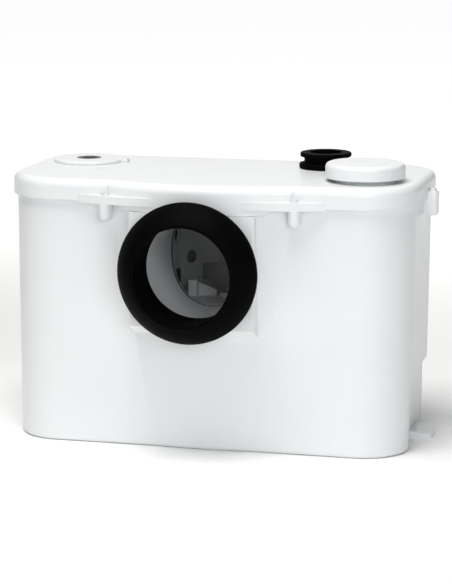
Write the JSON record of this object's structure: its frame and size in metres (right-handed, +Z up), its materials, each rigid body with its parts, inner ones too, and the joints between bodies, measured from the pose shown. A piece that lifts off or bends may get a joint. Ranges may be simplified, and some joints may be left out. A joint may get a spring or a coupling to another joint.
{
  "type": "macerator toilet pump",
  "caption": "Floor-standing lobed white tank with a black round pan connector in front, screwed lid, inner grinder, sealed motor and pump, and a black pipe sleeve on top.",
  "frame": {"origin": "on the floor, at the centre of the tank's underside, midway between its side walls and on the centre line of its side lobes", "axes": "+Z up; -Y towards the toilet pan, out of the black connector; +X to the right as seen from the pan"},
  "size_m": [0.4272, 0.2575, 0.28],
  "materials": {
    "white_shell": "smooth white moulded plastic",
    "black_rubber": "matte black moulded rubber",
    "grey_plastic": "satin grey moulded plastic",
    "pale_plastic": "satin ivory plastic",
    "black_plastic": "satin black plastic",
    "red_plastic": "satin red plastic",
    "bright_steel": "brushed stainless steel",
    "motor_metal": "cast and machined aluminium",
    "core_steel": "stacked steel sheets",
    "copper_wire": "varnished copper wire"
  },
  "bodies": {
    "housing": {"basket_cover": "grey_plastic", "basket_gasket": "black_rubber", "cable_gland": "grey_plastic", "capacitor": "pale_plastic", "carbon_filter": "black_plastic", "discharge_elbow": "grey_plastic", "discharge_riser": "grey_plastic", "discharge_sleeve": "black_rubber", "electrics_box": "grey_plastic", "electrics_lid": "grey_plastic", "flap_pin": "bright_steel", "gland_nut": "grey_plastic", "grinder_basket": "grey_plastic", "inlet_tunnel": "white_shell", "lid": "white_shell", "lid_screws": "bright_steel", "lid_seal": "black_rubber", "lower_bearing": "bright_steel", "lower_shaft_seal": "black_rubber", "membrane": "black_rubber", "microswitch": "black_plastic", "motor_can": "motor_metal", "motor_cover": "motor_metal", "pressure_bell": "grey_plastic", "pump_plate": "grey_plastic", "pump_rubbers": "black_rubber", "stack_screws_lower": "bright_steel", "stack_screws_upper": "bright_steel", "stator_core": "core_steel", "stator_windings": "copper_wire", "switch_bracket": "bright_steel", "tank": "white_shell", "terminal_block": "pale_plastic", "upper_bearing": "bright_steel", "upper_shaft_seal": "black_rubber", "valve_body": "grey_plastic", "valve_cap": "grey_plastic", "valve_screws": "bright_steel", "volute": "grey_plastic", "wc_collar": "black_rubber"},
    "spindle": {"motor_shaft": "bright_steel", "armature": "core_steel", "blade_rotor": "bright_steel", "rotor_nut": "bright_steel", "impeller": "grey_plastic", "impeller_nut": "bright_steel"},
    "flap": {"valve_flap": "grey_plastic"},
    "plunger": {"switch_plunger": "pale_plastic"},
    "button": {"switch_button": "red_plastic"},
    "cap": {"top_cap": "white_shell", "cap_ring": "black_rubber"},
    "vent": {"vent_cover": "white_shell", "vent_core": "black_plastic"}
  },
  "joints": [
    {"name": "spindle_spin", "type": "hinge", "parent": "housing", "child": "spindle", "pos_m": [-0.005, 0.027, 0.1], "axis": [0, 0, 1], "continuous": true},
    {"name": "flap_swing", "type": "hinge", "parent": "housing", "child": "flap", "pos_m": [0.094, 0.0615, 0.1895], "axis": [-1, 0, 0], "range_deg": [0, 70]},
    {"name": "plunger_lift", "type": "slide", "parent": "housing", "child": "plunger", "axis": [0, 0, 1], "range_m": [0, 0.002]},
    {"name": "button_press", "type": "slide", "parent": "housing", "child": "button", "axis": [0, 0, 1], "range_m": [0, 0.002], "stiffness_N_per_m": 200},
    {"name": "cap_lift", "type": "slide", "parent": "housing", "child": "cap", "axis": [0, 0, 1], "range_m": [0, 0.025]},
    {"name": "vent_turn", "type": "hinge", "parent": "housing", "child": "vent", "pos_m": [-0.151, 0.038, 0.262], "axis": [0, 0, 1], "range_deg": [0, 40]}
  ],
  "couplings": [
    {"joint": "button_press", "follows": "plunger_lift", "ratio": 1}
  ]
}
